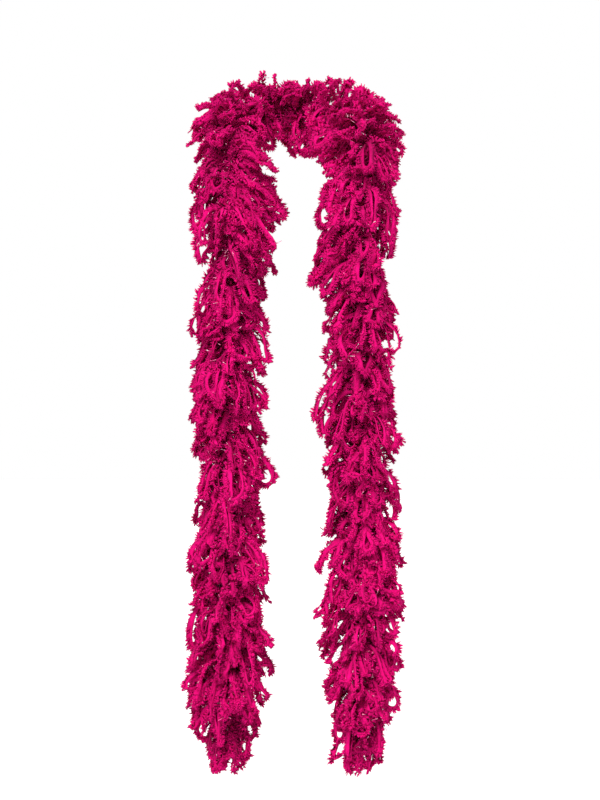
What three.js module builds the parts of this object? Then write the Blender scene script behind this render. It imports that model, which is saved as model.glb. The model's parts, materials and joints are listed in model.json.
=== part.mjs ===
import * as THREE from 'three';

// A yarn boa as it hangs when worn: a plied cord behind the neck and down both sides of the
// chest, tiers of looped fringe yarn bound round it like beads, and a bound knot at each end.
// Millimetres, +Z up, +X across the shoulders, -Y to the wearer's front. The origin is on the
// neck's axis, level with the cord behind the neck, where the boa rests.

const coreRadius = 4; // plied cord that carries the pile
const seatGap = 0.3; // clearance between pieces that touch on the real boa
const neckPileRadius = 42; // pile pressed against the neck
const tailPileRadius = 48; // pile hanging free
const backReach = 94; // neck's axis to the cord behind it
const sideReach = 126; // how wide the cord is led round the neck
const tailSide = 87; // middle plane to each tail
const tailFront = 86; // neck's axis forward to the hanging tails
const shoulderDrop = 40; // height lost over the shoulder
const chestDrop = 200; // height lost where the cord leaves the chest
const tailSegment = 209; // free cord between two bends
const tailBends = ['upper', 'middle', 'lower']; // free segments of a tail, from the top
const neckTiers = 12; // tiers from one chest bend to the other
const tiersPerSegment = 4;
const spansPerTier = 3; // straight spans that a tier has along the curved route
const bendLimit = 60; // degrees that neighbouring segments may turn
const bendRelief = 1.5; // degrees to spare on each face beside a bend
const bendGap = 0.4; // from a bend's point to the relieved face, on the axis
const tierGap = 0.4; // between neighbouring tiers
const tipLength = 54; // last tier, closed below the knot
const tipRadius = 17; // where the last tier's loops come together
const knotRadius = 8;
const knotHeight = 12;
const whipRadius = 5.6; // thread wound round the cord above the knot
const whipLength = 12;
const cordSides = 12;
const pileSides = 16;
const fillsFrom = 0.3; // share of the way from the back to the chest where the pile starts to fill
const fullAt = 0.95; // and where it is as full as the tails
const neckEndShare = 0.86; // a neck tier's ends, as a share of its fullest radius
const hangingShape = [[0, 0.84], [0.25, 1], [0.65, 0.93], [1, 0.72]]; // [height, radius] shares
const tipShape = [[-0.45, 0.8], [-0.2, 0.9], [0, 0.7]]; // [share of tip length, of pile radius]
const domeRounding = [15, 30, 50, 70, 90]; // degrees at which a cord's round top has a ring
const knotRounding = [-60, -30, 0, 30, 60]; // the same for a knot
const sameStation = 0.01; // closer stations than this count as one

const pilePink = 0xd4106a;
const cordPink = 0x8c0a46;
const threadPink = 0xb00c58;

const pileMaterial = new THREE.MeshStandardMaterial({ color: pilePink, roughness: 0.95 });
const cordMaterial = new THREE.MeshStandardMaterial({ color: cordPink, roughness: 0.85 });
const threadMaterial = new THREE.MeshStandardMaterial({ color: threadPink, roughness: 0.7 });

const boreRadius = coreRadius + seatGap;
const faceSlope = Math.tan(THREE.MathUtils.degToRad(bendLimit / 2 + bendRelief));
const bendHeight = chestDrop + coreRadius + seatGap; // depth of the chest bends below the origin

// The cord from the left chest bend round the back to the right one: one cubic curve for each
// half, level behind the neck and upright where it meets the tail.
class NeckRoute extends THREE.Curve {
  constructor() {
    super();
    this.half = new THREE.CubicBezierCurve3(
      new THREE.Vector3(0, backReach, 0),
      new THREE.Vector3(sideReach, backReach, 0),
      new THREE.Vector3(tailSide, -tailFront, -shoulderDrop),
      new THREE.Vector3(tailSide, -tailFront, -chestDrop),
    );
  }

  getPoint(t, target = new THREE.Vector3()) {
    const fromMiddle = 2 * t - 1;
    this.half.getPoint(Math.abs(fromMiddle), target);
    target.x *= Math.sign(fromMiddle);
    return target;
  }
}

const neckRoute = new NeckRoute();
neckRoute.arcLengthDivisions = 600;
const neckSpans = neckTiers * spansPerTier;
const spanLength = neckRoute.getLength() / neckSpans;
const stations = neckRoute.getSpacedPoints(neckSpans);
const frames = neckRoute.computeFrenetFrames(neckSpans, false);

// Moves a shape built along +Z onto the neck route: height becomes distance along the route.
function layOnRoute(geometry) {
  const place = geometry.attributes.position;
  for (let i = 0; i < place.count; i += 1) {
    const along = place.getZ(i) / spanLength;
    const span = Math.min(Math.max(Math.floor(along), 0), neckSpans - 1);
    const share = along - span;
    const centre = stations[span].clone().lerp(stations[span + 1], share);
    const side = frames.normals[span].clone().lerp(frames.normals[span + 1], share);
    const up = frames.binormals[span].clone().lerp(frames.binormals[span + 1], share);
    centre.addScaledVector(side, place.getX(i)).addScaledVector(up, place.getY(i));
    place.setXYZ(i, centre.x, centre.y, centre.z);
  }
  geometry.computeVertexNormals();
  return geometry;
}

// Turns an outline of [radius, height] pairs round +Z.
function turned(outline, sides) {
  const points = outline.map(([radius, height]) => new THREE.Vector2(radius, height));
  return new THREE.LatheGeometry(points, sides).rotateX(Math.PI / 2);
}

// Pile round the cord from height 0 to length. shape lists the outer surface upwards as
// [height share, radius]. A face beside a bend slopes away from the cord.
function tierOutline(length, shape, bendBelow, bendAbove) {
  const lowRadius = shape[0][1];
  const highRadius = shape[shape.length - 1][1];
  const low = bendBelow ? faceSlope * lowRadius : 0;
  const high = length - (bendAbove ? faceSlope * highRadius : 0);
  const outer = shape.map(([share, radius]) => [radius, low + share * (high - low)]);
  const boreLow = bendBelow ? faceSlope * boreRadius : 0;
  const boreHigh = length - (bendAbove ? faceSlope * boreRadius : 0);
  return { outer, boreLow, boreHigh };
}

// Adds points to the bore's wall at the route's stations, so that it bends as the cord does.
function boreWall(from, to, start) {
  const wall = [[boreRadius, from]];
  const first = Math.floor((start + from) / spanLength) + 1;
  for (let k = first; k * spanLength < start + to - sameStation; k += 1) {
    if (k * spanLength - start > from + sameStation) {
      wall.push([boreRadius, k * spanLength - start]);
    }
  }
  wall.push([boreRadius, to]);
  return wall;
}

// The boa is slimmer behind the neck and full where it hangs.
function neckPileAt(distance) {
  const fromMiddle = Math.abs((2 * distance) / (spanLength * neckSpans) - 1);
  return THREE.MathUtils.lerp(
    neckPileRadius,
    tailPileRadius,
    THREE.MathUtils.smoothstep(fromMiddle, fillsFrom, fullAt),
  );
}

// One tier on the neck route, slimmer at both its ends than between them.
function neckTier(index) {
  const length = spansPerTier * spanLength - tierGap;
  const start = index * spansPerTier * spanLength + tierGap / 2;
  const shape = [];
  for (let k = 0; k <= spansPerTier; k += 1) {
    const isEnd = k === 0 || k === spansPerTier;
    const radius = neckPileAt(start + (k * length) / spansPerTier);
    shape.push([k / spansPerTier, isEnd ? neckEndShare * radius : radius]);
  }
  const tier = tierOutline(length, shape, index === 0, index === neckTiers - 1);
  const bore = boreWall(tier.boreLow, tier.boreHigh, start);
  const outline = [...tier.outer, ...bore.reverse(), tier.outer[0]];
  return layOnRoute(turned(outline, pileSides).translate(0, 0, start));
}

// One tier of a tail, fullest near its foot because the loops droop downwards.
function hangingTier(length, bendBelow, bendAbove) {
  const shape = hangingShape.map(([share, radius]) => [share, radius * tailPileRadius]);
  const tier = tierOutline(length, shape, bendBelow, bendAbove);
  const outline = [
    ...tier.outer,
    [boreRadius, tier.boreHigh],
    [boreRadius, tier.boreLow],
    tier.outer[0],
  ];
  return turned(outline, pileSides);
}

// The last tier of a tail. Its pocket holds the whipping and the knot, and its loops close
// below them.
function tipTier() {
  const pocketRadius = knotRadius + seatGap;
  const pocketDepth = whipLength + knotHeight + 2 * seatGap;
  return turned([
    [0, -tipLength],
    [tipRadius, -tipLength],
    ...tipShape.map(([height, radius]) => [radius * tailPileRadius, height * tipLength]),
    [pocketRadius, 0],
    [pocketRadius, -pocketDepth],
    [0, -pocketDepth],
  ], pileSides);
}

// A straight length of cord hanging from a bend at height 0. Its top is round, so that it
// turns under the cord above without touching it.
function hangingCord(bottom) {
  const dome = domeRounding.map((degrees) => {
    const angle = THREE.MathUtils.degToRad(degrees);
    return [coreRadius * Math.cos(angle), coreRadius * Math.sin(angle)];
  });
  dome[dome.length - 1][0] = 0;
  return turned([[0, -bottom], [coreRadius, -bottom], [coreRadius, 0], ...dome], cordSides);
}

// The cord from chest bend to chest bend, with a ring at each of the route's stations.
function neckCord() {
  const wall = [];
  for (let k = 0; k <= neckSpans; k += 1) {
    wall.push([coreRadius, k * spanLength]);
  }
  const outline = [[0, 0], ...wall, [0, neckSpans * spanLength]];
  return layOnRoute(turned(outline, cordSides));
}

// The overhand knot that ends the cord, as the round bead it fills.
function knot() {
  const outline = [[0, -knotHeight]];
  for (const degrees of knotRounding) {
    const angle = THREE.MathUtils.degToRad(degrees);
    outline.push([knotRadius * Math.cos(angle), (knotHeight / 2) * (Math.sin(angle) - 1)]);
  }
  outline.push([0, 0]);
  return turned(outline, cordSides);
}

// The thread wound round the cord above the knot, as the sleeve it fills.
function whipping() {
  return turned([
    [whipRadius, -whipLength],
    [whipRadius, 0],
    [boreRadius, 0],
    [boreRadius, -whipLength],
    [whipRadius, -whipLength],
  ], cordSides);
}

function piece(name, geometry, material, x = 0, y = 0, z = 0) {
  const mesh = new THREE.Mesh(geometry, material);
  mesh.name = name;
  mesh.position.set(x, y, z);
  return mesh;
}

function neckSection() {
  const section = new THREE.Group();
  section.add(piece('neck_core_cord', neckCord(), cordMaterial));
  for (let i = 0; i < neckTiers; i += 1) {
    const name = `neck_pile_${String(i + 1).padStart(2, '0')}`;
    section.add(piece(name, neckTier(i), pileMaterial));
  }
  return section;
}

// One free segment of a tail, hanging from its bend at height 0 of its own group.
function tailSection(side, segment, isLast) {
  const section = new THREE.Group();
  const pileTop = -bendGap;
  const tipTop = tailSegment - whipLength;
  const pileBottom = isLast ? -tipTop + tierGap : -tailSegment + bendGap;
  const pitch = (pileTop - pileBottom + tierGap) / tiersPerSegment;
  const cordBottom = isLast ? tailSegment : tailSegment - coreRadius - seatGap;
  section.add(piece(`${side}_${segment}_core_cord`, hangingCord(cordBottom), cordMaterial));
  for (let i = 0; i < tiersPerSegment; i += 1) {
    const bendBelow = !isLast && i === tiersPerSegment - 1;
    const tier = hangingTier(pitch - tierGap, bendBelow, i === 0);
    const bottom = pileTop - (i + 1) * pitch + tierGap;
    section.add(piece(`${side}_${segment}_pile_${i + 1}`, tier, pileMaterial, 0, 0, bottom));
  }
  if (isLast) {
    section.add(piece(`${side}_end_whipping`, whipping(), threadMaterial, 0, 0, -tipTop));
    section.add(piece(`${side}_end_knot`, knot(), cordMaterial, 0, 0, -tailSegment - seatGap));
    section.add(piece(`${side}_tip_pile`, tipTier(), pileMaterial, 0, 0, -tipTop));
  }
  return section;
}

const boa = new THREE.Group();
boa.add(neckSection());
for (const side of ['left', 'right']) {
  const x = side === 'left' ? -tailSide : tailSide;
  tailBends.forEach((segment, index) => {
    const section = tailSection(side, segment, index === tailBends.length - 1);
    section.position.set(x, -tailFront, -bendHeight - index * tailSegment);
    boa.add(section);
  });
}

export default boa;
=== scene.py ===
import json
import math
import bpy
import numpy as np
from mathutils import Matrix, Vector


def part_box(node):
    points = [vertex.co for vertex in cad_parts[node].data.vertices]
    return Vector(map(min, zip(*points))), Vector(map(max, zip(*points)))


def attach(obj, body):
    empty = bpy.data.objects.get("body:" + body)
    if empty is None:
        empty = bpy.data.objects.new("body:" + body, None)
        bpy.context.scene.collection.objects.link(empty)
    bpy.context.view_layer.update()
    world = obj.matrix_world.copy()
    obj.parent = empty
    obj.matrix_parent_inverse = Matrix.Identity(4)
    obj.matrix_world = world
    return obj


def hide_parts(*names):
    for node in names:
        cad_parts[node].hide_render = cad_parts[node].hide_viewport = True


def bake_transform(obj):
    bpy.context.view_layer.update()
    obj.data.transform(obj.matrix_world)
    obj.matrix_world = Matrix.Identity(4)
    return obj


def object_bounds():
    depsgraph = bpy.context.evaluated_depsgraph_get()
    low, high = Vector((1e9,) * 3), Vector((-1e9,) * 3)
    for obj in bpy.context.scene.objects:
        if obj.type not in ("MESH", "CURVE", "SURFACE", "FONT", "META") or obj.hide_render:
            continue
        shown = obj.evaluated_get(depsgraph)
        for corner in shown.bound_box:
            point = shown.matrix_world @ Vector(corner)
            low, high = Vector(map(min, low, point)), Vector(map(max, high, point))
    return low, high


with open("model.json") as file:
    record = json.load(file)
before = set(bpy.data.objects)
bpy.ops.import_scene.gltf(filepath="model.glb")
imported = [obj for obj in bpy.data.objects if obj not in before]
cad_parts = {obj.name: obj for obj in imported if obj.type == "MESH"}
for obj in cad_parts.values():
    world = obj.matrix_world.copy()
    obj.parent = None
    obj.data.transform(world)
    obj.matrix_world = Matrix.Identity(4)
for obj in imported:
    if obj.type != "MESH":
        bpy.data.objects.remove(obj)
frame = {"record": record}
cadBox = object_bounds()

print("boa: frame loaded")

joints = {j["name"]: j for j in frame["record"]["behaviour"]["joints"]}
scene = bpy.context.scene
downwards = np.array([0.0, 0.0, -1.0])

cameraSet = {
    "distance": 5.0,  # from the hanging tails, metres
    "lens": 173.0,
    "aside": 0.0065,
    "height": -0.39,  # under the back of the neck
}


def addCamera(look):
    tailFront = joints["left_sway"]["pos_m"][1]
    data = bpy.data.cameras.new("frontCamera")
    data.lens = look["lens"]
    camera = bpy.data.objects.new("frontCamera", data)
    scene.collection.objects.link(camera)
    camera.location = (look["aside"], tailFront - look["distance"], look["height"])
    camera.rotation_euler = (math.radians(90), 0, 0)
    scene.camera = camera


addCamera(cameraSet)


def unit(v):
    # each vector over its own length
    return v / np.maximum(np.linalg.norm(v, axis=-1, keepdims=True), 1e-9)


def smooth(x, low, high):
    # 0 below low, 1 above high, 3t^2 - 2t^3 between
    t = np.clip((x - low) / (high - low), 0, 1)
    return t * t * (3 - 2 * t)


def newPiece(name, points, corners, counts, material, uv=None, values=None):
    # corners lists each face's points one after another, counts says how many each face has
    mesh = bpy.data.meshes.new(name)
    mesh.vertices.add(len(points))
    mesh.vertices.foreach_set("co", np.ascontiguousarray(points, np.float32).ravel())
    mesh.loops.add(len(corners))
    mesh.loops.foreach_set("vertex_index", corners.astype(np.int32))
    mesh.polygons.add(len(counts))
    starts = np.concatenate([[0], np.cumsum(counts)[:-1]]).astype(np.int32)
    mesh.polygons.foreach_set("loop_start", starts)
    if uv is not None:
        layer = mesh.uv_layers.new(name="OFBake")
        layer.data.foreach_set("uv", uv[corners].astype(np.float32).ravel())
    for key, value in (values or {}).items():
        attribute = mesh.attributes.new(key, "FLOAT", "POINT")
        attribute.data.foreach_set("value", value.astype(np.float32))
    mesh.materials.append(material)
    mesh.update(calc_edges=True)
    mesh.validate()
    piece = bpy.data.objects.new(name, mesh)
    scene.collection.objects.link(piece)
    return piece


def tubeCorners(rings, sides):
    # quads between neighbouring rings, and one face across each end
    ring = np.arange(rings - 1)[:, None] * sides
    side = np.arange(sides)[None, :]
    follow = (side + 1) % sides
    quads = np.stack([ring + side, ring + follow, ring + sides + follow, ring + sides + side], -1)
    low = np.arange(sides)[::-1]
    high = (rings - 1) * sides + np.arange(sides)
    counts = np.concatenate([np.full((rings - 1) * sides, 4), [sides, sides]])
    return np.concatenate([quads.reshape(-1), low, high]), counts


routeSet = {
    # the cord's points beside the middle, in metres: behind the neck, led round it, over the
    # shoulder, and where it leaves the chest
    "half": [(0, 0.094, 0), (0.126, 0.094, 0), (0.087, -0.086, -0.040), (0.087, -0.086, -0.200)],
    "steps": 400,
}


def halfRoute(values):
    # a cubic Bezier curve led by the four points, then straight down to the last cord's end:
    # p0 (1-t)^3 + 3 p1 t (1-t)^2 + 3 p2 t^2 (1-t) + p3 t^3
    t = np.linspace(0, 1, values["steps"])[:, None]
    p = np.array(values["half"], float)
    curve = (1 - t) ** 3 * p[0] + 3 * t * (1 - t) ** 2 * p[1]
    curve = curve + 3 * t**2 * (1 - t) * p[2] + t**3 * p[3]
    end = p[3].copy()
    end[2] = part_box("right_lower_core_cord")[0][2]
    points = np.vstack([curve, end])
    distance = np.concatenate([[0], np.cumsum(np.linalg.norm(np.diff(points, axis=0), axis=1))])
    return points, distance


routeLine, routeDistance = halfRoute(routeSet)
routeEnd = routeDistance[-1]
bendAt = [float(np.interp(-joints[n]["pos_m"][2], -routeLine[:, 2], routeDistance))
          for n in ("right_sway", "right_swing", "right_curl")]


def alongRoute(distance):
    # place on the route, signed from the middle of the back: left is negative
    side = np.where(distance < 0, -1.0, 1.0)
    d = np.abs(distance)
    point = np.stack([np.interp(d, routeDistance, routeLine[:, k]) for k in range(3)], -1)
    point[..., 0] *= side
    return point


def routeTangent(distance):
    # the way the route runs, from a point just before to one just after
    step = 0.002
    return unit(alongRoute(distance + step) - alongRoute(distance - step))


def newNode(nodes, kind, **values):
    node = nodes.new(kind)
    for key, value in values.items():
        setattr(node, key, value)
    return node


shadeSet = {
    "start": -0.40,  # of the way from the deep dye to the bright one
    "tone": 0.45,  # and how much of each of these is added to it
    # reach: painted light, lighter out at fringe tips, web edges and ply ridges, darker at the thread and
    # grooves
    "reach": 0.35,
    "cloud": 0.6,
    "clump": 0.6,
    "fibreHeight": 0.3,  # of single fibres, as a share of the clumps' height
    "bumpDistance": 0.0016,
    "sheenRoughness": 0.5,
}


def yarnShadeGroup(look):
    # colour of dyed yarn, from a deep dye to a bright one, with share = start + tone * a + reach * b
    # + cloud noise * c + clump noise * d, kept within 0 to 1; and height = clumps + fibres * e. The tone
    # carries painted shade towards the cord, the reach painted light: lighter at tips and ridges, darker
    # in
    group = bpy.data.node_groups.new("yarnShade", "ShaderNodeTree")
    for key, kind, preset in (
        ("Deep", "NodeSocketColor", (0.5, 0.01, 0.1, 1)),
        ("Bright", "NodeSocketColor", (0.8, 0.02, 0.2, 1)),
        ("Tone And Shade", "NodeSocketFloat", 0.5),
        ("Painted Light", "NodeSocketFloat", 0.5),
        ("Cloud Scale", "NodeSocketFloat", 60.0),
        ("Fibre Scale", "NodeSocketFloat", 1800.0),
        ("Clump Scale", "NodeSocketFloat", 430.0),
    ):
        socket = group.interface.new_socket(name=key, in_out="INPUT", socket_type=kind)
        socket.default_value = preset
    group.interface.new_socket(name="Color", in_out="OUTPUT", socket_type="NodeSocketColor")
    group.interface.new_socket(name="Height", in_out="OUTPUT", socket_type="NodeSocketFloat")
    nodes, link = group.nodes, group.links.new
    entry, leave = nodes.new("NodeGroupInput"), nodes.new("NodeGroupOutput")
    place = nodes.new("ShaderNodeTexCoord")

    def noiseOf(scale, detail):
        noise = nodes.new("ShaderNodeTexNoise")
        noise.inputs["Detail"].default_value = detail
        link(place.outputs["Object"], noise.inputs["Vector"])
        link(entry.outputs[scale], noise.inputs["Scale"])
        return noise.outputs["Fac"]

    def added(source, share, before, clamped=False):
        # what came before, with a share of the source added
        node = newNode(nodes, "ShaderNodeMath", operation="MULTIPLY_ADD", use_clamp=clamped)
        link(source, node.inputs[0])
        node.inputs[1].default_value = share
        if isinstance(before, float):
            node.inputs[2].default_value = before
        else:
            link(before, node.inputs[2])
        return node.outputs[0]

    cloud, clump = noiseOf("Cloud Scale", 2.0), noiseOf("Clump Scale", 2.0)
    fibre = noiseOf("Fibre Scale", 1.0)
    share = added(entry.outputs["Tone And Shade"], look["tone"], look["start"])
    share = added(entry.outputs["Painted Light"], look["reach"], share)
    share = added(cloud, look["cloud"], share)
    share = added(clump, look["clump"], share, clamped=True)
    blend = newNode(nodes, "ShaderNodeMix", data_type="RGBA")
    link(share, blend.inputs["Factor"])
    link(entry.outputs["Deep"], blend.inputs[6])
    link(entry.outputs["Bright"], blend.inputs[7])
    link(blend.outputs[2], leave.inputs["Color"])
    link(added(fibre, look["fibreHeight"], clump), leave.inputs["Height"])
    return group


yarnShade = yarnShadeGroup(shadeSet)

finishSet = {
    "pileYarn": {"deep": (0.36, 0.0004, 0.072, 1), "bright": (0.85, 0.004, 0.20, 1), "roughness": 0.9,
                 "gloss": 0.05, "sheen": 0.14, "sheenTint": (1.0, 0.08, 0.35, 1), "bump": 0.8},
    "coreCord": {"deep": (0.36, 0.0008, 0.07, 1), "bright": (0.60, 0.002, 0.12, 1), "roughness": 0.8,
                 "gloss": 0.1, "sheen": 0.1, "sheenTint": (1.0, 0.1, 0.35, 1), "bump": 0.4},
    "bindingThread": {"deep": (0.42, 0.001, 0.085, 1), "bright": (0.70, 0.003, 0.15, 1), "roughness": 0.5,
                      "gloss": 0.25, "sheen": 0.05, "sheenTint": (1.0, 0.2, 0.4, 1), "bump": 0.3},
}


def yarnMaterial(name, look):
    # the yarn's colour and bump on a matt, slightly furry skin
    material = bpy.data.materials.new(name)
    material.use_nodes = True
    nodes, link = material.node_tree.nodes, material.node_tree.links.new
    skin = nodes["Principled BSDF"]
    shade = nodes.new("ShaderNodeGroup")
    shade.node_tree = yarnShade
    shade.inputs["Deep"].default_value = look["deep"]
    shade.inputs["Bright"].default_value = look["bright"]
    # the attributes bring painted shade towards the cord and painted light out at the fringe's tips and
    # ridges
    for key, socket in (("yarnToneAndShade", "Tone And Shade"), ("paintedLight", "Painted Light")):
        value = newNode(nodes, "ShaderNodeAttribute", attribute_name=key)
        link(value.outputs["Fac"], shade.inputs[socket])
    bump = nodes.new("ShaderNodeBump")
    bump.inputs["Strength"].default_value = look["bump"]
    bump.inputs["Distance"].default_value = shadeSet["bumpDistance"]
    link(shade.outputs["Color"], skin.inputs["Base Color"])
    link(shade.outputs["Height"], bump.inputs["Height"])
    link(bump.outputs["Normal"], skin.inputs["Normal"])
    skin.inputs["Roughness"].default_value = look["roughness"]
    skin.inputs["Specular IOR Level"].default_value = look["gloss"]
    skin.inputs["Sheen Weight"].default_value = look["sheen"]
    skin.inputs["Sheen Roughness"].default_value = shadeSet["sheenRoughness"]
    skin.inputs["Sheen Tint"].default_value = look["sheenTint"]
    return material


tinselSet = {
    "paintedPinkReflection": (0.80, 0.03, 0.25, 1),  # painted reflection: the film's pink stands for the pink yarn it reflects
    "paintedGlint": (0.98, 0.95, 0.97, 1),  # painted glint, where the silvering would catch the light
    "glintPatchScale": 900.0,
    "glintPatches": (0.52, 0.57),  # noise values between which the painted reflection turns to a painted glint
    "roughness": 0.3,
    "metallic": 0.1,
    "length": (0.0080, 0.0036),  # of a filament at least, and how much more
    "waist": (0.88, 0.00062),  # share of its length where it is widest, and its radius there
    "along": 0.8,  # how far it leans along the yarn
}


def tinselMaterial(look):
    # film coloured with a painted pink reflection and small painted white glints, where a noise is high
    material = bpy.data.materials.new("tinsel")
    material.use_nodes = True
    nodes, link = material.node_tree.nodes, material.node_tree.links.new
    skin = nodes["Principled BSDF"]
    place = nodes.new("ShaderNodeTexCoord")
    glintPatch = nodes.new("ShaderNodeTexNoise")
    glintPatch.inputs["Scale"].default_value = look["glintPatchScale"]
    share = nodes.new("ShaderNodeMapRange")
    share.inputs["From Min"].default_value = look["glintPatches"][0]
    share.inputs["From Max"].default_value = look["glintPatches"][1]
    blend = newNode(nodes, "ShaderNodeMix", data_type="RGBA")
    blend.inputs[6].default_value = look["paintedPinkReflection"]
    blend.inputs[7].default_value = look["paintedGlint"]
    link(place.outputs["Object"], glintPatch.inputs["Vector"])
    link(glintPatch.outputs["Fac"], share.inputs["Value"])
    link(share.outputs["Result"], blend.inputs["Factor"])
    link(blend.outputs[2], skin.inputs["Base Color"])
    skin.inputs["Roughness"].default_value = look["roughness"]
    skin.inputs["Metallic"].default_value = look["metallic"]
    return material


pileYarn = yarnMaterial("pileYarn", finishSet["pileYarn"])
coreCordFinish = yarnMaterial("coreCord", finishSet["coreCord"])
bindingThread = yarnMaterial("bindingThread", finishSet["bindingThread"])
tinselFilm = tinselMaterial(tinselSet)
print("boa: materials made")

cordSet = {
    "diameter": 0.008,
    "plies": 3,
    "layLength": 0.026,  # one full turn of the plies
    "groove": 0.16,  # depth of the grooves between plies, as a share of the radius
    "sides": 24,
    "ringStep": 0.0035,
    "paintedRidgeLight": 0.6,  # painted light: how much lighter the plies' ridges are, with painted shade in the grooves
}


def cordBetween(name, start, end, values):
    # a tube on the route whose section is a circle pulled in between its plies, turning as it
    # goes: radius times (1 - groove * (1 - |cos(plies * angle / 2)|))
    rings = max(8, int(abs(end - start) / values["ringStep"]))
    distance = np.linspace(start, end, rings)
    centre, tangent = alongRoute(distance), routeTangent(distance)
    out = unit(centre * np.array([1.0, 1.0, 0.0]))
    first = unit(out - (out * tangent).sum(-1, keepdims=True) * tangent)
    second = np.cross(tangent, first)
    angle = np.linspace(0, 2 * np.pi, values["sides"], endpoint=False)[None, :]
    turn = 2 * np.pi * distance[:, None] / values["layLength"]
    lobe = np.abs(np.cos(values["plies"] * (angle + turn) / 2))
    radius = values["diameter"] / 2 * (1 - values["groove"] * (1 - lobe))
    ring = np.cos(angle)[..., None] * first[:, None] + np.sin(angle)[..., None] * second[:, None]
    points = (centre[:, None] + radius[..., None] * ring).reshape(-1, 3)
    corners, counts = tubeCorners(rings, values["sides"])
    u = np.repeat(np.linspace(0, 1, rings), values["sides"])
    v = np.tile(np.linspace(0.02, 0.98, values["sides"]), rings)
    tone = np.repeat(0.5 + 0.5 * lobe.mean(1), values["sides"])
    # painted light and shade: the plies' ridges lighter, the grooves between them darker
    piece = newPiece(name, points, corners, counts, coreCordFinish, np.stack([u, v], -1),
                     {"yarnToneAndShade": tone, "paintedLight": lobe.ravel() * values["paintedRidgeLight"]})
    return piece, centre


partSet = {
    "bendReach": 0.062,  # half the length about a bend, to the points that bendWith finds and does not use
    "beforeChest": 0.100,  # where the tails' pieces take over from the neck's, before the first bend
    "afterBend": 0.105,  # where a piece ends, after its bend
    "whipped": 0.014,  # the pile stops this far short of the cord's end
}
partEnds = [bendAt[0] - partSet["beforeChest"], bendAt[0] + partSet["afterBend"],
            bendAt[1] + partSet["afterBend"], routeEnd]
tipFrom = bendAt[2] + partSet["afterBend"]  # where the pile of the hanging end begins
pileEnd = routeEnd - partSet["whipped"]
tailBodies = ["neck", "upper", "middle", "lower"]


def bendWith(piece, side, part):
    # bakes the piece's place into its mesh; the points about its bend (part 1 at the chest, 2 and 3
    # below) go unused
    above = alongRoute(np.array([bendAt[part - 1] - partSet["bendReach"]]))[0]
    below = alongRoute(np.array([bendAt[part - 1] + partSet["bendReach"]]))[0]
    if side == "left":
        above[0], below[0] = -above[0], -below[0]
    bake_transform(piece)


def addCords(values):
    piece, centre = cordBetween("neckCord", -partEnds[0], partEnds[0], values)
    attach(piece, "neck")
    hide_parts("neck_core_cord")
    for side, sign in (("left", -1), ("right", 1)):
        for part in (1, 2, 3):
            name = f"{side}{tailBodies[part].capitalize()}Cord"
            piece, centre = cordBetween(name, sign * partEnds[part - 1], sign * partEnds[part], values)
            bendWith(piece, side, part)
            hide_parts(f"{side}_{tailBodies[part]}_core_cord")


addCords(cordSet)
print("boa: core cord laid")

endSet = {
    "threadRadius": 0.0006,
    "turns": 9,  # of binding thread above each knot
    "turnSteps": 32,
    "threadSides": 8,
    "knotRadius": 0.0026,
    "knotSteps": 150,
    "knotSides": 18,
    "plyTurns": 5,  # turns of the plies along the knot
}


def ringsAlong(path, closed, radius, sides):
    # a tube whose rings stand square to the path, turned to keep one side away from its middle
    if closed:
        tangent = unit(np.roll(path, -1, axis=0) - np.roll(path, 1, axis=0))
    else:
        tangent = unit(np.gradient(path, axis=0))
    away = path - path.mean(axis=0)
    first = unit(away - (away * tangent).sum(-1, keepdims=True) * tangent)
    second = np.cross(tangent, first)
    angle = np.linspace(0, 2 * np.pi, sides, endpoint=False)[None, :, None]
    ring = np.cos(angle) * first[:, None] + np.sin(angle) * second[:, None]
    return (path[:, None] + ring * radius[..., None]).reshape(-1, 3)


def addWhipping(side, values):
    # a helix of thread: radius * (cos a, sin a), falling evenly through the CAD piece's height
    low, high = (np.array(corner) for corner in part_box(f"{side}_end_whipping"))
    middle = (low + high) / 2
    thread = values["threadRadius"]
    steps = values["turns"] * values["turnSteps"]
    angle = np.linspace(0, 2 * np.pi * values["turns"], steps)
    around = (high[0] - low[0]) / 2 - thread
    height = np.linspace(high[2] - thread, low[2] + thread, steps)
    path = np.stack([middle[0] + around * np.cos(angle), middle[1] + around * np.sin(angle), height], -1)
    sides = values["threadSides"]
    points = ringsAlong(path, False, np.full((steps, sides), thread), sides)
    corners, counts = tubeCorners(steps, sides)
    uv = np.stack([np.repeat(np.linspace(0.01, 0.99, steps), sides),
                   np.tile(np.linspace(0.02, 0.98, sides), steps)], -1)
    tone = np.full(len(points), 0.5)
    # painted shade: the thread darker on its side against the cord, lighter on its outer side
    reach = np.tile(0.5 + 0.5 * np.cos(np.linspace(0, 2 * np.pi, sides, endpoint=False)), steps)
    piece = newPiece(f"{side}Whipping", points, corners, counts, bindingThread, uv,
                     {"yarnToneAndShade": tone, "paintedLight": reach})
    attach(piece, f"{side}_lower")
    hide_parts(f"{side}_end_whipping")


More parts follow.
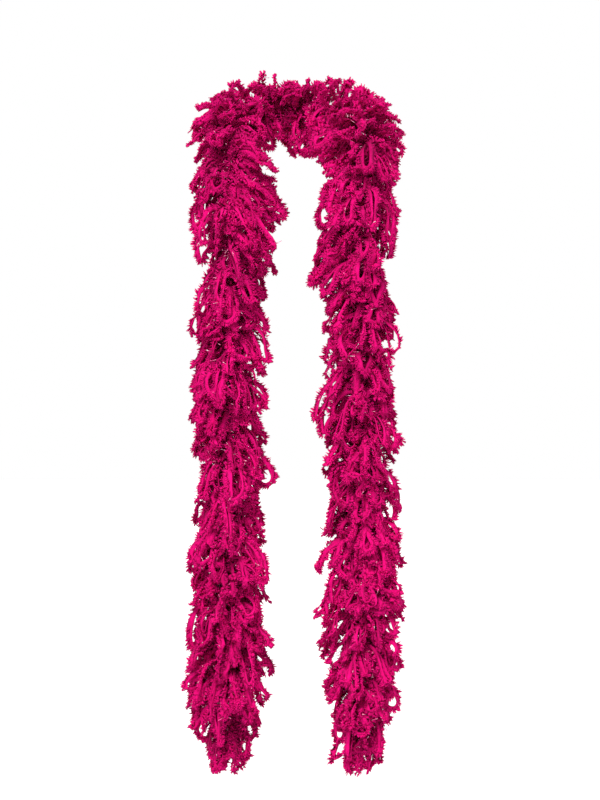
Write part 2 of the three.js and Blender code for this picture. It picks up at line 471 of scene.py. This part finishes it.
def addKnot(side, values):
    # an overhand knot drawn tight: x = sin a + 2 sin 2a, y = cos a - 2 cos 2a, z = -sin 3a,
    # scaled to the CAD knot, with the same plies as the cord
    low, high = (np.array(corner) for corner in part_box(f"{side}_end_knot"))
    radius = values["knotRadius"]
    steps, sides = values["knotSteps"], values["knotSides"]
    a = np.linspace(0, 2 * np.pi, steps, endpoint=False)
    shape = np.stack([(np.sin(a) + 2 * np.sin(2 * a)) / 3, (np.cos(a) - 2 * np.cos(2 * a)) / 3,
                      -np.sin(3 * a)], -1)
    path = (low + high) / 2 + shape * ((high - low) / 2 - radius)
    around = np.linspace(0, 2 * np.pi, sides, endpoint=False)[None, :]
    lobe = np.abs(np.cos(cordSet["plies"] * around / 2 + values["plyTurns"] * a[:, None]))
    points = ringsAlong(path, True, radius * (1 - cordSet["groove"] * (1 - lobe)), sides)
    corners, counts = tubeCorners(steps, sides)
    corners, counts = corners[:-2 * sides], counts[:-2]  # without its ends, which are joined instead
    last, index = (steps - 1) * sides, np.arange(sides)
    follow = (index + 1) % sides
    closing = np.stack([last + index, last + follow, follow, index], -1).reshape(-1)
    corners, counts = np.concatenate([corners, closing]), np.concatenate([counts, np.full(sides, 4)])
    uv = np.stack([np.repeat(np.linspace(0.01, 0.99, steps), sides),
                   np.tile(np.linspace(0.02, 0.98, sides), steps)], -1)
    # painted light on the plies' ridges and painted shade in the grooves, as on the cord
    piece = newPiece(f"{side}Knot", points, corners, counts, coreCordFinish, uv,
                     {"yarnToneAndShade": np.full(len(points), 0.5),
                      "paintedLight": lobe.ravel() * cordSet["paintedRidgeLight"]})
    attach(piece, f"{side}_lower")
    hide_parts(f"{side}_end_knot")


for side in ("left", "right"):
    addWhipping(side, endSet)
    addKnot(side, endSet)
print("boa: ends bound and knotted")

yarnSet = {
    "threadRadius": 0.0008,
    # the tube's section: out towards the fringe and across, in thread radii; its last point but
    # one is the edge of the fringe's dense foot
    "section": ((-0.7, 0.8), (-0.7, -0.8), (0.9, -0.75), (0, 0), (0.9, 0.75)),
    "sectionPaintedLight": (-0.2, -0.2, 0.1, 0.4, 0.1),  # painted light: how much lighter each of those points is, darker on the round thread, lightest at the web's edge
    "webReach": 0.0060,  # how far the dense foot stands out from the thread
    "webRagged": 0.2,
    "thinEnds": 0.35,  # the tube's size where it is bound into the cord
    "toneSpread": 0.22,  # how far the tone differs from loop to loop
    "mottle": 0.22,  # how far the tone changes along the web
    "loopRings": 27,
    "lineSteps": 16,  # steps along the middle line of a loop
    "toothSpacing": 0.00072,
    "atBend": (0.16, 0.07),  # share of teeth set round the loop's end, and how closely
    "toothLength": (0.0046, 0.0074),
    "toothVaries": (0.3, 0.25),  # how far within those lengths: by clump, by tooth
    "toothSet": (0.25, 0.85),  # where a tooth's foot stands on the web, as shares of its reach
    "toothFoot": 0.0031,
    "toothTip": 0.0016,
    "toothTone": (0.16, 0.14),  # how far the tone differs: by clump, by tooth
    "endTeeth": 0.12,  # teeth are shorter on this share of the yarn at both its ends
    "clumpPitch": 0.0036,  # fibres gather into pointed clumps
    "gather": 0.55,  # how far a tooth leans to its clump's middle
    "loose": (0.34, 0.1),  # share of teeth that stand any way: on drawn-out loops, on open ones
    "looseSpread": 1.5,
    "looseSize": 0.62,
    "fan": (0.4, 0.28, 0.16),  # spread about the fringe's side: in waves, by clump, by tooth
    "lean": (0.35, 0.25, 0.12),  # leaning along the thread, the same way
    "hang": 0.2,  # fringe falling
    "twisted": 0.55,  # share of the drawn-out loops whose yarn twists
    "twist": (5.0, 0.6),  # radians along the loop, of those and of the others
    "turned": (0.75, 0.3),  # the fringe's turn out of the loop's plane, on the same two
    "wiggles": ((1.5, 0.0030), (3.1, 0.0020), (5.3, 0.0009)),  # turns along a loop, and how far
}

pileSet = {
    "firstSeed": 100,
    "loopPitch": (0.00108, 0.00092, 0.00072),  # cord taken by each loop: neck, tails, ends
    "lengths": ((0.018, 0.034), (0.040, 0.058), (0.064, 0.084)),  # short, middle, long loops
    "shares": (0.34, 0.40, 0.26),
    "openShare": 0.2,  # of the middle and long loops
    "widths": ((0.002, 0.008), (0.010, 0.019)),  # of drawn-out loops and of open ones
    "bulge": 1.3,  # a loop's widest place, in those widths
    "foot": (0.003, 0.003),  # a loop starts this far from the cord's middle, its two ends so far apart
    "swing": (0.8, 0.7),  # turn of a loop's plane, and how far it turns on towards its end
    "tuft": 5,  # neighbouring loops that lie the same way
    "tuftTurn": 2.39996,  # radians from one tuft to the next
    "tuftSpread": 0.55,
    "tuftLengths": (0.74, 1.12),
    "droopMost": (0.85, 0.80, 0.89),
    "droopLess": (0.16, 0.1),  # how much less it may be: by tuft, by loop
    "droopOver": ((0.4, 0.9), (0.5, 0.9), (0.5, 0.9)),
    "neckDroop": (0.95, 0.68),  # share of that droop over the shoulders, outwards and inwards
    "neckRising": 0.45,  # how much less the loops that start upwards bend over there
    "neckLonger": 1.06,
    "neckSooner": 0.78,  # the loops over the shoulders bend down within this share of the length
    "inwardLess": 0.6,  # how far the neck turns loops away from itself
    "riseMost": 0.062,  # the pile's own weight lets no loop stand higher than this over the cord
    "fallMost": 0.062,  # lowest that a loop of the neck hangs below it
    "neckClear": 0.050,  # the pile is pressed back this far from the neck's axis
    "neckDown": (-0.09, 0.05),  # lowest height where the neck presses on it, and how gently it starts
    "standsProud": (-0.012, 0.003),  # how far a loop's line may pass the CAD tiers' box
    "drawnIn": 0.2,  # smallest share of its size to which a loop is drawn in for that
    "crown": (0.058, 0.043, 0.8, 0.014),  # top height, where it starts to slope, slope, softness
    "paintedHollowShade": 1.25,  # painted shade: the tone darker towards the cord, deep in the pile
    "paintedHollowReach": (0.006, 0.042),
    "chestLean": 0.019,  # the loops on the chest lie this far towards the middle
    "splay": 0.15,  # outward fall over the shoulders
    "backOverlap": (0.009, 0.10),  # the halves reach past each other behind the neck, and fade from it
    "tipTaper": (0.070, 0.34, 0.2),  # length that narrows towards an end, how far, and how much shorter
    "tinselEach": 1.8,  # filaments for each loop
    # stretches of cord, from the middle of the back, over which a thing fades out, or in and out
    "overShoulder": (0.15, 0.29),  # longer loops that bend sooner
    "onShoulder": (0.17, 0.32),  # splay
    "resting": (0.14, 0.26),  # droop held up by the shoulder
    "atNeck": (0.12, 0.24),
    "onChest": (0.15, 0.22, 0.32, 0.44),
}


def loopPlan(low, high, side, values, rng):
    # one row for each loop: place on the route, leaving direction, length, width and droop, with
    # the last three drawn evenly between two values: low + chance * (high - low)
    pitch = values["loopPitch"][0 if low < partEnds[0] else 1 if low < tipFrom else 2]
    count = int(round((high - low) / pitch))
    order = np.arange(count)
    distance = low + (order + rng.random(count)) * (high - low) / count
    distance = distance - values["backOverlap"][0] * (1 - smooth(distance, 0, values["backOverlap"][1]))
    kind = rng.choice(3, count, p=values["shares"])
    opened = (rng.random(count) < values["openShare"]) & (kind > 0)
    lengthRange = np.array(values["lengths"])[kind]
    overRange = np.array(values["droopOver"])[kind]
    widthRange = np.array(values["widths"])[opened.astype(int)]
    tuft = order // values["tuft"]
    tuftLength, tuftDroop, tuftTurn = rng.random((3, tuft[-1] + 1))[:, tuft]
    shorter, longer = values["tuftLengths"]
    plan = {
        "distance": distance * side,
        "angle": tuft * values["tuftTurn"] + tuftTurn + rng.normal(0, values["tuftSpread"], count),
        "length": lengthRange[:, 0] + rng.random(count) * np.ptp(lengthRange, axis=1),
        "droopOver": overRange[:, 0] + rng.random(count) * np.ptp(overRange, axis=1),
        "droopMost": (np.array(values["droopMost"])[kind] - values["droopLess"][0] * tuftDroop
                      - rng.random(count) * values["droopLess"][1]),
        "width": widthRange[:, 0] + rng.random(count) * np.ptp(widthRange, axis=1),
        "opened": opened,
    }
    plan["length"] = plan["length"] * (shorter + tuftLength * (longer - shorter))
    overShoulder = 1 - smooth(distance, *values["overShoulder"])
    plan["length"] = plan["length"] * (1 + (values["neckLonger"] - 1) * overShoulder)
    plan["droopOver"] = plan["droopOver"] * (1 + (values["neckSooner"] - 1) * overShoulder)
    over, narrowest, shorterBy = values["tipTaper"]
    taper = smooth(distance, pileEnd - over, pileEnd)
    plan["reach"] = 1 - (1 - narrowest) * taper
    plan["length"] = plan["length"] * (1 - shorterBy * taper)
    return plan


def loopLines(plan, values, yarn, rng):
    # The middle line of each loop leaves the cord and bends over downwards:
    # direction = leaving * (1 - k) + falling * k, k rising smoothly from 0, summed by steps.
    # The yarn goes out along one side of it and back along the other:
    # share of the line = (1 - cos(2 pi u)) / 2, offset = width * share * sqrt(1 - share).
    # What rises above the cord is pressed down, height = most * tanh(height / most), and on
    # the neck so is what hangs below it. Given back with the normals of the loops' planes.
    count = len(plan["distance"])
    root, tangent = alongRoute(plan["distance"]), routeTangent(plan["distance"])
    outward = unit(root * np.array([1.0, 1.0, 0.0]))
    first = unit(outward - (outward * tangent).sum(-1, keepdims=True) * tangent)
    second = np.cross(tangent, first)
    angle = plan["angle"][:, None]
    leaving = np.cos(angle) * first + np.sin(angle) * second
    away = np.abs(plan["distance"])
    atNeck = 1 - smooth(away, *values["atNeck"])
    inward = np.minimum((leaving * outward).sum(-1), 0)
    leaving = unit(leaving - (values["inwardLess"] * atNeck * inward)[:, None] * outward)
    leaving = unit(leaving * plan["reach"][:, None] + downwards * (1 - plan["reach"])[:, None])
    onShoulder = 1 - smooth(away, *values["onShoulder"])
    falling = unit(downwards + (values["splay"] * onShoulder)[:, None] * outward)
    resting = 1 - smooth(away, *values["resting"])
    outer, inner = values["neckDroop"]
    kept = inner + (outer - inner) * (0.5 + 0.5 * (leaving * outward).sum(-1))
    kept = kept * (1 - values["neckRising"] * np.maximum(leaving[:, 2], 0))
    droopMost = plan["droopMost"] * (1 - (1 - kept) * resting)
    t = np.linspace(0, 1, yarn["lineSteps"])
    k = droopMost[:, None] * smooth(t[None, :], 0, plan["droopOver"][:, None])
    heading = unit(leaving[:, None] * (1 - k)[..., None] + falling[:, None] * k[..., None])
    steps = (heading[:, 1:] + heading[:, :-1]) / 2 / (yarn["lineSteps"] - 1)
    line = np.concatenate([np.zeros((count, 1, 3)), np.cumsum(steps, axis=1)], axis=1)
    start, apart = values["foot"]
    line = root[:, None] + start * leaving[:, None] + line * plan["length"][:, None, None]

    u = np.linspace(0, 1, yarn["loopRings"])
    share = (1 - np.cos(2 * np.pi * u)) / 2
    low = np.minimum((share * (yarn["lineSteps"] - 1)).astype(int), yarn["lineSteps"] - 2)
    part = (share * (yarn["lineSteps"] - 1) - low)[None, :, None]
    middle = line[:, low] * (1 - part) + line[:, low + 1] * part
    ahead = unit(heading[:, low] * (1 - part) + heading[:, low + 1] * part)
    across = unit(np.cross(np.broadcast_to(tangent[:, None], ahead.shape), ahead) + 1e-6)
    inPlane = np.cross(ahead, across)
    turned, turning = values["swing"]
    swing = rng.normal(0, turned, count)[:, None] + rng.normal(0, turning, count)[:, None] * share
    sideways = np.cos(swing)[..., None] * across + np.sin(swing)[..., None] * inPlane
    offset = np.sign(np.sin(2 * np.pi * u)) * share * np.sqrt(np.maximum(1 - share, 0)) * values["bulge"]
    points = middle + sideways * (offset[None, :] * plan["width"][:, None])[..., None]
    window = np.sin(np.pi * u)[None, :, None]
    for turns, most in yarn["wiggles"]:
        phase = rng.random((count, 1, 3)) * 2 * np.pi
        size = rng.normal(0, most, (count, 1, 3))
        points = points + window * size * np.sin(2 * np.pi * turns * u[None, :, None] + phase)
    spread = rng.normal(0, apart, count)[:, None, None] * tangent[:, None]
    points = points + spread * ((1 - 2 * u) * (1 - share) ** 2)[None, :, None]
    onChest = smooth(away, *values["onChest"][:2]) * (1 - smooth(away, *values["onChest"][2:]))
    points[..., 0] -= values["chestLean"] * (np.sign(root[:, 0]) * onChest)[:, None] * share[None, :]
    rise = np.maximum(points[..., 2] - root[:, None, 2], 0) / values["riseMost"]
    points[..., 2] += values["riseMost"] * (np.tanh(rise) - rise)
    fall = np.maximum(root[:, None, 2] - points[..., 2], 0) / values["fallMost"]
    points[..., 2] -= atNeck[:, None] * values["fallMost"] * (np.tanh(fall) - fall)
    points = pressedBack(underCrown(points, values), values)
    return keptInside(points, root, values, rng), np.cross(ahead, sideways)


def keptInside(points, root, values, rng):
    # a loop that would stand too far outside the CAD tiers' box is drawn in towards its root:
    # root + (point - root) * least of (1 - overshoot / distance from the root)
    low, high = (np.array(corner) for corner in cadBox)
    least, most = values["standsProud"]
    room = least + (most - least) * rng.random((len(points), 1))
    out = np.maximum(points - high, low - points).max(axis=1) - room
    start = np.abs(points - root[:, None]).max(axis=1)
    share = 1 - np.maximum(out, 0) / np.maximum(start, 1e-6)
    share = np.clip(share, values["drawnIn"], 1).min(axis=1)
    return root[:, None] + (points - root[:, None]) * share[:, None, None]


def underCrown(points, values):
    # the pile lies over sloping shoulders: with top = height - slope * (distance out - start),
    # what stands above top - soft is pressed to top - soft + soft * tanh(over / soft)
    height, start, slope, soft = values["crown"]
    top = height - slope * np.maximum(np.abs(points[..., 0]) - start, 0)
    over = np.maximum(points[..., 2] - top + soft, 0) / soft
    points[..., 2] += soft * (np.tanh(over) - over)
    return points


def pressedBack(points, values):
    # nothing of the pile comes nearer to the neck's axis than the neck's own radius: what does is
    # moved straight out, by radius / distance, and this fades away below the neck
    across = np.linalg.norm(points[..., :2], axis=-1)
    lowest, fade = values["neckDown"]
    beside = smooth(points[..., 2], lowest, lowest + fade)
    short = np.maximum(values["neckClear"] - across, 0) * beside
    push = 1 + short / np.maximum(across, 1e-6)
    points[..., :2] *= push[..., None]
    return points


def yarnFrames(points, planeNormal, opened, yarn, rng):
    # Along the thread, then the side its fringe stands on, then square to both. The fringe
    # points out of the loop, and turns slowly about the thread as the yarn twists:
    # cos(angle) * out + sin(angle) * square, with angle = start + twist * (u - 1/2).
    count, rings = points.shape[:2]
    along = unit(np.gradient(points, axis=1))
    square = unit(planeNormal - (planeNormal * along).sum(-1, keepdims=True) * along)
    out = np.cross(square, along)
    twists = (rng.random(count) < yarn["twisted"]) & ~opened
    twist = np.where(twists, *yarn["twist"]) * rng.normal(0, 1, count)
    start = rng.normal(0, 1, count) * np.array(yarn["turned"])[opened.astype(int)]
    angle = (start[:, None] + twist[:, None] * (np.linspace(0, 1, rings) - 0.5))[..., None]
    fringe = np.cos(angle) * out + np.sin(angle) * square
    return along, np.cross(along, fringe), fringe


def threadMesh(points, square, fringe, yarn, rng):
    # A slim tube round each loop's line, closed at both ends: a round thread on the inner side
    # and the fringe's dense foot drawn out to an edge on the other:
    # point + (out * size) * fringe + across * square, with size = thin * (1 + ragged * chance).
    count, rings = points.shape[:2]
    section = np.array(yarn["section"]) * yarn["threadRadius"]
    section[-2] = (yarn["webReach"], 0)
    sides = len(section)
    ends = yarn["thinEnds"]
    thin = ends + (1 - ends) * np.sin(np.pi * np.linspace(0.04, 0.96, rings)) ** 0.5
    ragged = thin * (1 + yarn["webRagged"] * rng.normal(0, 1, (count, rings)))
    tube = (points[:, :, None] + section[:, 0, None] * fringe[:, :, None] * ragged[..., None, None]
            + section[:, 1, None] * square[:, :, None]).reshape(-1, 3)
    corners, counts = tubeCorners(rings, sides)
    corners = (corners[None, :] + np.arange(count)[:, None] * rings * sides).ravel()
    u = np.broadcast_to(np.linspace(0, 1, rings)[None, :, None], (count, rings, sides)).copy()
    u[..., 1] += 0.004  # gives the end faces some room on the map
    v = np.broadcast_to(0.04 + 0.06 * np.arange(sides), (count, rings, sides))
    # painted light: darker on the round thread, lighter out at the web's edge
    reach = np.broadcast_to(np.array(yarn["sectionPaintedLight"]), (count, rings, sides))
    return tube, corners, np.tile(counts, count), u.ravel(), v.ravel(), reach.ravel()


def fringeMesh(points, along, square, fringe, plan, yarn, rng):
    # Teeth of the fringe: each is a slim closed blade of four faces, with its foot along the
    # thread and its tip turned across it. It points along cos(angle) * out + sin(angle) * square
    # + lean * along + hang * downwards, with angle and lean from waves and chance.
    count, rings = points.shape[:2]
    lengths = np.linalg.norm(np.diff(points, axis=1), axis=-1).sum(1)
    teeth = np.maximum((lengths / yarn["toothSpacing"]).astype(int), 8)
    owner = np.repeat(np.arange(count), teeth)
    rank = np.arange(teeth.sum()) - np.repeat(np.cumsum(teeth) - teeth, teeth)
    u = 0.02 + 0.96 * (rank + rng.random(len(rank))) / teeth[owner]
    bent = rng.random(len(rank)) < yarn["atBend"][0]
    u = np.where(bent, 0.5 + yarn["atBend"][1] * rng.normal(0, 1, len(rank)), u)
    low = np.minimum((u * (rings - 1)).astype(int), rings - 2)
    part = (u * (rings - 1) - low)[:, None]

    def at(field):
        return field[owner, low] * (1 - part) + field[owner, low + 1] * part

    clump = u * lengths[owner] / yarn["clumpPitch"] + rng.random(count)[owner]
    cell = clump.astype(int)
    cells = rng.normal(0, 1, (count, cell.max() + 1, 3))[owner, cell]

    def spread(amounts, column):
        # waves along the loop, then each clump's own share, then each tooth's
        inWaves, byClump, byTooth = amounts
        turns, phase = 2 + 3 * rng.random(count), 2 * np.pi * rng.random(count)
        wave = np.sin(2 * np.pi * turns[owner] * u + phase[owner])
        return inWaves * wave + byClump * cells[:, column] + byTooth * rng.normal(0, 1, len(rank))

    base, ahead = at(points), unit(at(along))
    normal, outer = unit(at(square)), unit(at(fringe))
    byClump, byTooth = yarn["toothVaries"]
    longer = np.clip(0.5 + byClump * cells[:, 2] + byTooth * (rng.random(len(rank)) - 0.5), 0, 1)
    size = yarn["toothLength"][0] + np.ptp(yarn["toothLength"]) * longer
    gather = yarn["gather"] * (cell + 0.5 - clump) * yarn["clumpPitch"] / size
    angle = spread(yarn["fan"], 0)
    loose = rng.random(len(rank)) < np.array(yarn["loose"])[plan["opened"].astype(int)][owner]
    angle = np.where(loose, rng.normal(0, yarn["looseSpread"], len(rank)), angle)
    size = np.where(loose, yarn["looseSize"] * size, size)
    way = np.cos(angle)[:, None] * outer + np.sin(angle)[:, None] * normal
    way = way + (spread(yarn["lean"], 1) + gather)[:, None] * ahead
    way = unit(way + yarn["hang"] * downwards)
    side = unit(np.cross(ahead, way))
    size = (size * (0.5 + 0.5 * smooth(np.minimum(u, 1 - u), 0.0, yarn["endTeeth"])))[:, None]
    half = ahead * yarn["toothFoot"] / 2
    nearest, furthest = yarn["toothSet"]
    standing = (nearest + (furthest - nearest) * rng.random(len(rank))) * yarn["webReach"]
    foot = base + outer * standing[:, None]
    edge = side * yarn["toothTip"] / 2
    blade = np.stack([foot + half, foot - half, foot + way * size + edge, foot + way * size - edge], 1)
    corners = np.array([0, 1, 2, 1, 0, 3, 0, 2, 3, 2, 1, 3])
    allCorners = (corners[None, :] + 4 * np.arange(len(rank))[:, None]).ravel()
    step = 0.5 / teeth[owner]
    uvU = np.stack([u - step, u + step, u - step * 0.6, u + step * 0.6], 1)
    uvV = np.broadcast_to(np.array([0.42, 0.45, 0.95, 0.92]), uvU.shape)
    byClump, byTooth = yarn["toothTone"]
    tone = byClump * cells[:, 1] + rng.normal(0, byTooth, len(rank))
    return blade, allCorners, np.full(4 * len(rank), 3), uvU, uvV, owner, tone


def tinselMesh(points, along, out, square, each, look, rng):
    # short flat-sided filaments lying beside the yarn, each two three-sided points set base to
    # base, pointing along cos(angle) * out + sin(angle) * square + a chance share of along
    count, rings = points.shape[:2]
    total = int(count * each)
    owner, ring = rng.integers(0, count, total), rng.integers(2, rings - 2, total)
    angle = rng.random(total)[:, None] * 2 * np.pi
    way = unit(np.cos(angle) * out[owner, ring] + np.sin(angle) * square[owner, ring]
               + rng.normal(0, look["along"], total)[:, None] * along[owner, ring])
    side = unit(np.cross(way, along[owner, ring] + 0.01))
    other = np.cross(way, side)
    shortest, more = look["length"]
    size = (shortest + more * rng.random(total))[:, None]
    start = points[owner, ring]
    turn = np.arange(3) * 2 * np.pi / 3
    waistAt, radius = look["waist"]
    waist = (start + way * size * waistAt)[:, None] + radius * (
        np.cos(turn)[:, None] * side[:, None] + np.sin(turn)[:, None] * other[:, None])
    shapes = np.concatenate([start[:, None], waist, (start + way * size)[:, None]], 1)
    corners = np.array([0, 2, 1, 0, 3, 2, 0, 1, 3, 4, 1, 2, 4, 2, 3, 4, 3, 1])
    allCorners = (corners[None, :] + 5 * np.arange(total)[:, None]).ravel()
    return shapes.reshape(-1, 3), allCorners, np.full(6 * total, 3)


def paintedHollowShare(points, low, high, side, values):
    # share of painted shade: 1 beside the cord, 0 at the pile's surface, by each point's distance from
    # the nearest of a row of points on the cord's route: distance squared = p.p - 2 p.q + q.q
    beyond, steps = 0.06, 80
    near = alongRoute(side * np.linspace(low - beyond, high + beyond, steps))
    squares = (points**2).sum(-1)[:, None] - 2 * points @ near.T + (near**2).sum(-1)[None, :]
    return 1 - smooth(np.sqrt(np.maximum(squares.min(axis=1), 0)), *values["paintedHollowReach"])


def addPile(name, low, high, side, seed):
    # the loops between two places on the route, and the filaments among them
    rng = np.random.default_rng(seed)
    plan = loopPlan(low, high, side, pileSet, rng)
    points, planeNormal = loopLines(plan, pileSet, yarnSet, rng)
    along, square, out = yarnFrames(points, planeNormal, plan["opened"], yarnSet, rng)
    count, sides = len(points), len(yarnSet["section"])
    tube, tubeIdx, tubeCounts, tubeU, tubeV, tubePaintedLight = threadMesh(points, square, out, yarnSet, rng)
    teeth, teethIdx, teethCounts, teethU, teethV, owner, ownTone = fringeMesh(
        points, along, square, out, plan, yarnSet, rng)
    tone = np.clip(rng.normal(0.5, yarnSet["toneSpread"], count), 0, 1)
    allPoints = np.concatenate([tube, teeth.reshape(-1, 3)])
    corners = np.concatenate([tubeIdx, teethIdx + len(tube)])
    counts = np.concatenate([tubeCounts, teethCounts])
    owners = np.concatenate([np.repeat(np.arange(count), len(tube) // count), np.repeat(owner, 4)])
    mottle = np.repeat(rng.normal(0, yarnSet["mottle"], len(tube) // sides), sides)
    tonesAndShade = tone[owners] + np.concatenate([mottle, np.repeat(ownTone, 4)])
    # painted shade: the tone darkens towards the cord, deep in the pile
    tonesAndShade = tonesAndShade - pileSet["paintedHollowShade"] * paintedHollowShare(allPoints, low, high, side, pileSet)
    u = np.concatenate([tubeU, teethU.ravel()]) * 0.98 + 0.01
    v = (owners + np.concatenate([tubeV, teethV.ravel()])) / count
    reach = np.concatenate([tubePaintedLight, np.tile([0.2, 0.2, 1.0, 1.0], len(teeth))])  # painted light: each tooth darker at its foot, lighter at its tip
    piece = newPiece(name, allPoints, corners, counts, pileYarn, np.stack([u, v], -1),
                     {"yarnToneAndShade": tonesAndShade, "paintedLight": reach})
    filaments = tinselMesh(points, along, out, square, pileSet["tinselEach"], tinselSet, rng)
    glints = newPiece(name.replace("Pile", "Tinsel"), *filaments, tinselFilm)
    print(f"boa: {name}, {count} loops, {int((counts - 2).sum())} triangles")
    return piece, glints


def tiersOf(side, part):
    # the CAD tiers that the pile of one part stands for
    if part == 0:
        return [f"neck_pile_{i:02d}" for i in (range(2, 7) if side == "left" else range(7, 12))]
    if part == 1:
        return [f"neck_pile_{1 if side == 'left' else 12:02d}",
                f"{side}_upper_pile_1", f"{side}_upper_pile_2"]
    if part == 4:
        return [f"{side}_lower_pile_3", f"{side}_lower_pile_4", f"{side}_tip_pile"]
    upper, lower = tailBodies[part - 1], tailBodies[part]
    return [f"{side}_{upper}_pile_3", f"{side}_{upper}_pile_4",
            f"{side}_{lower}_pile_1", f"{side}_{lower}_pile_2"]


def addAllPile():
    for side, sign in (("left", -1), ("right", 1)):
        ends = [0.0, *partEnds[:3], tipFrom, pileEnd]
        names = ["Neck", "Upper", "Middle", "Lower", "Tip"]
        for part, name in enumerate(names):
            seed = pileSet["firstSeed"] + 10 * part + (side == "left")
            pieces = addPile(f"{side}{name}Pile", ends[part], ends[part + 1], sign, seed)
            for piece in pieces:
                if part in (0, 4):
                    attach(piece, "neck" if part == 0 else f"{side}_lower")
                else:
                    bendWith(piece, side, part)
            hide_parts(*tiersOf(side, part))


addAllPile()
print("boa: pile laid")

studioSet = {
    "floorDrop": 0.25,
    "floorRadius": 30.0,
    "floorRim": 96,  # points round it
    "floorColour": (0.93, 0.93, 0.93, 1),
    "floorRoughness": 0.9,
    "floorGloss": 0.1,
    "grain": (300.0, 0.05),  # scale and strength of its paper grain
    "skyLight": 0.51,
    "sunStrength": 3.75,
    "sunAngle": 30,
    "sunTurn": (48, 0, -14),
    "backStrength": 0.7,
    "backTurn": (-50, 0, -30),
}


def addFloor(look):
    # a wide round disc with a fine paper grain
    material = bpy.data.materials.new("paleFloor")
    material.use_nodes = True
    nodes, link = material.node_tree.nodes, material.node_tree.links.new
    skin = nodes["Principled BSDF"]
    skin.inputs["Base Color"].default_value = look["floorColour"]
    skin.inputs["Roughness"].default_value = look["floorRoughness"]
    skin.inputs["Specular IOR Level"].default_value = look["floorGloss"]
    place = nodes.new("ShaderNodeTexCoord")
    grain = nodes.new("ShaderNodeTexNoise")
    grain.inputs["Scale"].default_value = look["grain"][0]
    bump = nodes.new("ShaderNodeBump")
    bump.inputs["Strength"].default_value = look["grain"][1]
    link(place.outputs["Object"], grain.inputs["Vector"])
    link(grain.outputs["Fac"], bump.inputs["Height"])
    link(bump.outputs["Normal"], skin.inputs["Normal"])
    count, radius = look["floorRim"], look["floorRadius"]
    angle = np.linspace(0, 2 * np.pi, count, endpoint=False)
    height = np.full(count, cadBox[0][2] - look["floorDrop"])
    rim = np.stack([radius * np.cos(angle), radius * np.sin(angle), height], -1)
    floor = newPiece("paleFloor", rim, np.arange(count), np.array([count]), material)


def addSun(name, turn, strength, spread):
    data = bpy.data.lights.new(name, "SUN")
    data.energy = strength
    data.angle = math.radians(spread)
    lamp = bpy.data.objects.new(name, data)
    scene.collection.objects.link(lamp)
    lamp.rotation_euler = [math.radians(a) for a in turn]


def addStudio(look):
    # an even white sky, seen brighter by the camera, and two broad suns
    world = bpy.data.worlds.new("studio")
    scene.world = world
    world.use_nodes = True
    nodes, link = world.node_tree.nodes, world.node_tree.links.new
    sky = nodes["Background"]
    sky.inputs["Color"].default_value = (1, 1, 1, 1)
    sky.inputs["Strength"].default_value = look["skyLight"]
    backdrop = nodes.new("ShaderNodeBackground")
    backdrop.inputs["Color"].default_value = (1, 1, 1, 1)
    seen = nodes.new("ShaderNodeLightPath")
    both = nodes.new("ShaderNodeMixShader")
    link(seen.outputs["Is Camera Ray"], both.inputs["Fac"])
    link(sky.outputs[0], both.inputs[1])
    link(backdrop.outputs[0], both.inputs[2])
    link(both.outputs[0], nodes["World Output"].inputs["Surface"])
    addSun("softSun", look["sunTurn"], look["sunStrength"], look["sunAngle"])
    addSun("backSun", look["backTurn"], look["backStrength"], look["sunAngle"])
    scene.view_settings.view_transform = "Standard"


addFloor(studioSet)
addStudio(studioSet)
print("boa: studio lit")
